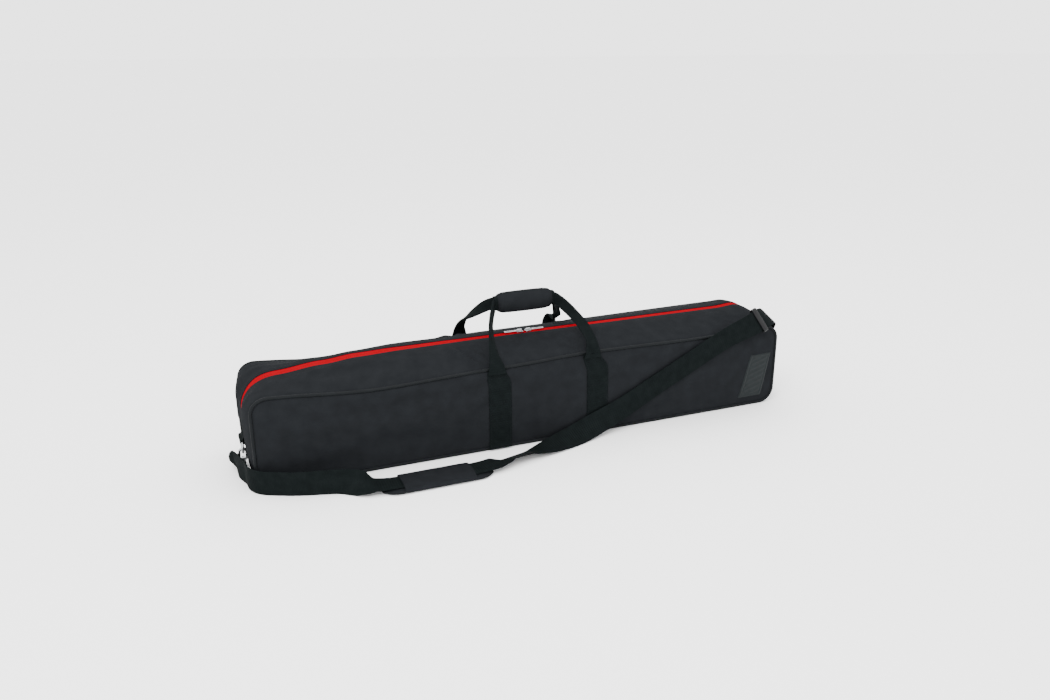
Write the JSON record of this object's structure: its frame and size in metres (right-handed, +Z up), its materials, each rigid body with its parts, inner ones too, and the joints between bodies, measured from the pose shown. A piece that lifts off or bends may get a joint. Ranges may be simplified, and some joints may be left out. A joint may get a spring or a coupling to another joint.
{
  "type": "telescope carry case",
  "caption": "Long padded fabric case with piped panels, a two-slider zip round the top, webbing handles with a wrapped grip, and a clip-on padded shoulder strap.",
  "frame": {"origin": "Middle of the flat base of the case, without the shoulder strap and its hooks.", "axes": "+X along the case towards the end with the rubber patch, +Y from the front panel to the back panel, +Z up from the base."},
  "size_m": [1.2413, 0.3387, 0.301],
  "materials": {
    "shell_fabric": "near-black woven polyester with a faint sheen",
    "webbing": "ribbed black polypropylene webbing",
    "piping": "smooth black binding over a cord",
    "red_tape": "woven red zip tape",
    "foam": "closed-cell foam",
    "lining": "plain dark grey lining",
    "board": "matte stiffening board",
    "metal": "nickel-plated die casting",
    "black_plastic": "black moulded plastic",
    "patch_rubber": "matte embossed rubber"
  },
  "bodies": {
    "case": {"back_panel": "shell_fabric", "back_foam": "foam", "back_lining": "lining", "front_panel_lower": "shell_fabric", "front_foam_lower": "foam", "front_lining_lower": "lining", "front_piping_lower": "piping", "rear_piping_lower": "piping", "rear_piping_upper": "piping", "rear_zip_gusset": "shell_fabric", "rear_gusset_lining": "lining", "rear_zip_tape": "red_tape", "rear_zip_coil": "black_plastic", "bottom_gusset": "shell_fabric", "bottom_lining": "lining", "base_board": "board", "front_webbing_left_lower": "webbing", "front_webbing_right_lower": "webbing", "rear_webbing_left": "webbing", "rear_webbing_right": "webbing", "left_zip_end": "piping", "right_zip_end": "piping", "left_ring_tab": "webbing", "right_ring_tab": "webbing", "rubber_patch": "patch_rubber", "shoulder_strap": "webbing", "shoulder_pad": "shell_fabric", "pad_sleeve": "shell_fabric", "strap_adjuster": "black_plastic"},
    "lid": {"front_panel_upper": "shell_fabric", "front_foam_upper": "foam", "front_lining_upper": "lining", "front_piping_upper": "piping", "front_zip_gusset": "shell_fabric", "front_gusset_lining": "lining", "front_zip_tape": "red_tape", "front_zip_coil": "black_plastic", "front_webbing_left_upper": "webbing", "front_webbing_right_upper": "webbing"},
    "front_carry_handle": {"front_handle": "webbing", "grip_wrap": "shell_fabric"},
    "grip_closure": {"grip_flap": "shell_fabric"},
    "rear_carry_handle": {"rear_handle": "webbing"},
    "left_zip_slider": {"left_slider": "metal"},
    "left_zip_pull": {"left_pull": "metal"},
    "right_zip_slider": {"right_slider": "metal"},
    "right_zip_pull": {"right_pull": "metal"},
    "left_ring_group": {"left_ring": "metal", "left_eye": "black_plastic", "left_strap_loop": "webbing"},
    "left_snap_hook": {"left_hook": "metal"},
    "left_hook_gate": {"left_gate": "black_plastic"},
    "right_ring_group": {"right_ring": "metal", "right_eye": "black_plastic", "right_strap_loop": "webbing"},
    "right_snap_hook": {"right_hook": "metal"},
    "right_hook_gate": {"right_gate": "black_plastic"}
  },
  "joints": [
    {"name": "lid_fold", "type": "hinge", "parent": "case", "child": "lid", "pos_m": [0, -0.111, 0.092], "axis": [1, 0, 0], "range_deg": [0, 90], "deforming": ["shoulder_strap", "strap_adjuster", "rubber_patch"]},
    {"name": "front_handle_fold", "type": "hinge", "parent": "lid", "child": "front_carry_handle", "pos_m": [0, -0.112, 0.1905], "axis": [1, 0, 0], "range_deg": [0, 165]},
    {"name": "grip_flap_open", "type": "hinge", "parent": "front_carry_handle", "child": "grip_closure", "pos_m": [0, 0.0002, 0.3012], "axis": [1, 0, 0], "range_deg": [0, 120], "deforming": ["grip_flap"]},
    {"name": "rear_handle_fold", "type": "hinge", "parent": "case", "child": "rear_carry_handle", "pos_m": [0, 0.112, 0.1905], "axis": [-1, 0, 0], "range_deg": [0, 165]},
    {"name": "left_slider_travel", "type": "slide", "parent": "lid", "child": "left_zip_slider", "axis": [-1, 0, 0], "range_m": [0, 0.44]},
    {"name": "left_pull_flip", "type": "hinge", "parent": "left_zip_slider", "child": "left_zip_pull", "pos_m": [-0.0127, 0, 0.2146], "axis": [0, 1, 0], "range_deg": [0, 135]},
    {"name": "left_ring_swing", "type": "hinge", "parent": "case", "child": "left_ring_group", "pos_m": [-0.5945, 0, 0.066], "axis": [0, 1, 0], "range_deg": [0, 75]},
    {"name": "left_hook_swivel", "type": "hinge", "parent": "left_ring_group", "child": "left_snap_hook", "pos_m": [-0.5945, 0, 0.0173], "axis": [0, 0, 1], "range_deg": [-15, 15]},
    {"name": "left_gate_press", "type": "hinge", "parent": "left_snap_hook", "child": "left_hook_gate", "pos_m": [-0.60095, 0, 0.02905], "axis": [0, 1, 0], "range_deg": [0, 30], "stiffness_Nm_per_rad": 0.02, "springref_deg": -17.19},
    {"name": "right_slider_travel", "type": "slide", "parent": "lid", "child": "right_zip_slider", "axis": [1, 0, 0], "range_m": [0, 0.44]},
    {"name": "right_pull_flip", "type": "hinge", "parent": "right_zip_slider", "child": "right_zip_pull", "pos_m": [0.0127, 0, 0.2146], "axis": [0, -1, 0], "range_deg": [0, 135]},
    {"name": "right_ring_swing", "type": "hinge", "parent": "case", "child": "right_ring_group", "pos_m": [0.5945, 0, 0.066], "axis": [0, -1, 0], "range_deg": [0, 75]},
    {"name": "right_hook_swivel", "type": "hinge", "parent": "right_ring_group", "child": "right_snap_hook", "pos_m": [0.5945, 0, 0.0173], "axis": [0, 0, 1], "range_deg": [-15, 15]},
    {"name": "right_gate_press", "type": "hinge", "parent": "right_snap_hook", "child": "right_hook_gate", "pos_m": [0.60095, 0, 0.02905], "axis": [0, -1, 0], "range_deg": [0, 30], "stiffness_Nm_per_rad": 0.02, "springref_deg": -17.19}
  ]
}
